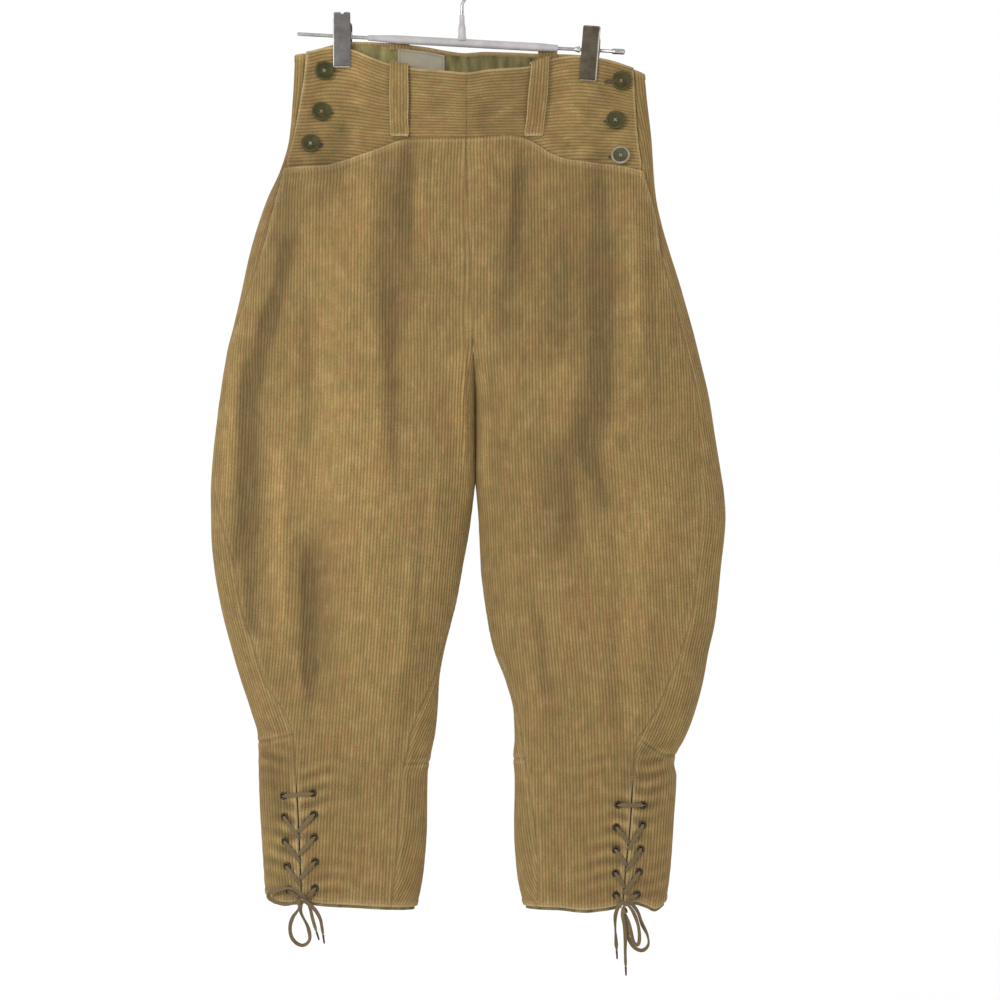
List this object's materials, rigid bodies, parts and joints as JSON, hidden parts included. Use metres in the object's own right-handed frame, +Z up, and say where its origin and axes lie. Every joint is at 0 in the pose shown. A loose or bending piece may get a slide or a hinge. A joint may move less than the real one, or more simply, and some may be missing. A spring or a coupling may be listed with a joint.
{
  "type": "corduroy lace-up jodhpurs on a clip hanger",
  "caption": "Corduroy riding breeches, full at the thigh, buttoned at both sides and laced at the calf, hanging from a clip hanger.",
  "frame": {"origin": "under the crown of the hanger's hook, where the rail touches its wire", "axes": "+Z up; -Y is the front of the breeches, the side that faces the camera; +X is the wearer's left"},
  "size_m": [0.506, 0.0937, 1.0336],
  "materials": {
    "corduroy": "worn wide-wale corduroy, old gold",
    "twill": "olive cotton twill",
    "label": "blank woven cream cotton",
    "button": "dark olive, worn",
    "grey_button": "grey green with a pale rim",
    "eyelet": "dark and oxidised",
    "lace": "flat woven cotton, faded brown",
    "steel": "plated, dulled",
    "coating": "white vinyl coating"
  },
  "bodies": {
    "root": {"front_yoke_right": "corduroy", "front_panel_right": "corduroy", "back_panel_right": "corduroy", "calf_panel_right": "corduroy", "hem_tape_right": "twill", "belt_loop_front_right": "corduroy", "belt_loop_back_right": "corduroy", "button_right_1": "button", "button_right_2": "button", "button_right_3": "button", "eyelet_right_outer_1": "eyelet", "eyelet_right_inner_1": "eyelet", "eyelet_right_outer_2": "eyelet", "eyelet_right_inner_2": "eyelet", "eyelet_right_outer_3": "eyelet", "eyelet_right_inner_3": "eyelet", "eyelet_right_outer_4": "eyelet", "eyelet_right_inner_4": "eyelet", "eyelet_right_outer_5": "eyelet", "eyelet_right_inner_5": "eyelet", "lacing_right": "lace", "bow_right": "lace", "bow_right_tip_a": "eyelet", "bow_right_tip_b": "eyelet", "clip_right_front_jaw": "steel", "clip_right_back_jaw": "steel", "clip_right_spring": "steel", "front_yoke_left": "corduroy", "front_panel_left": "corduroy", "back_panel_left": "corduroy", "calf_panel_left": "corduroy", "hem_tape_left": "twill", "belt_loop_front_left": "corduroy", "belt_loop_back_left": "corduroy", "button_left_1": "button", "button_left_2": "button", "button_left_3": "grey_button", "eyelet_left_outer_1": "eyelet", "eyelet_left_inner_1": "eyelet", "eyelet_left_outer_2": "eyelet", "eyelet_left_inner_2": "eyelet", "eyelet_left_outer_3": "eyelet", "eyelet_left_inner_3": "eyelet", "eyelet_left_outer_4": "eyelet", "eyelet_left_inner_4": "eyelet", "eyelet_left_outer_5": "eyelet", "eyelet_left_inner_5": "eyelet", "lacing_left": "lace", "bow_left": "lace", "bow_left_tip_a": "eyelet", "bow_left_tip_b": "eyelet", "clip_left_front_jaw": "steel", "clip_left_back_jaw": "steel", "clip_left_spring": "steel", "waist_facing": "twill", "label_blank": "label", "hanger_bar": "steel", "hanger_hook": "steel", "hanger_sleeve": "coating"}
  },
  "joints": []
}
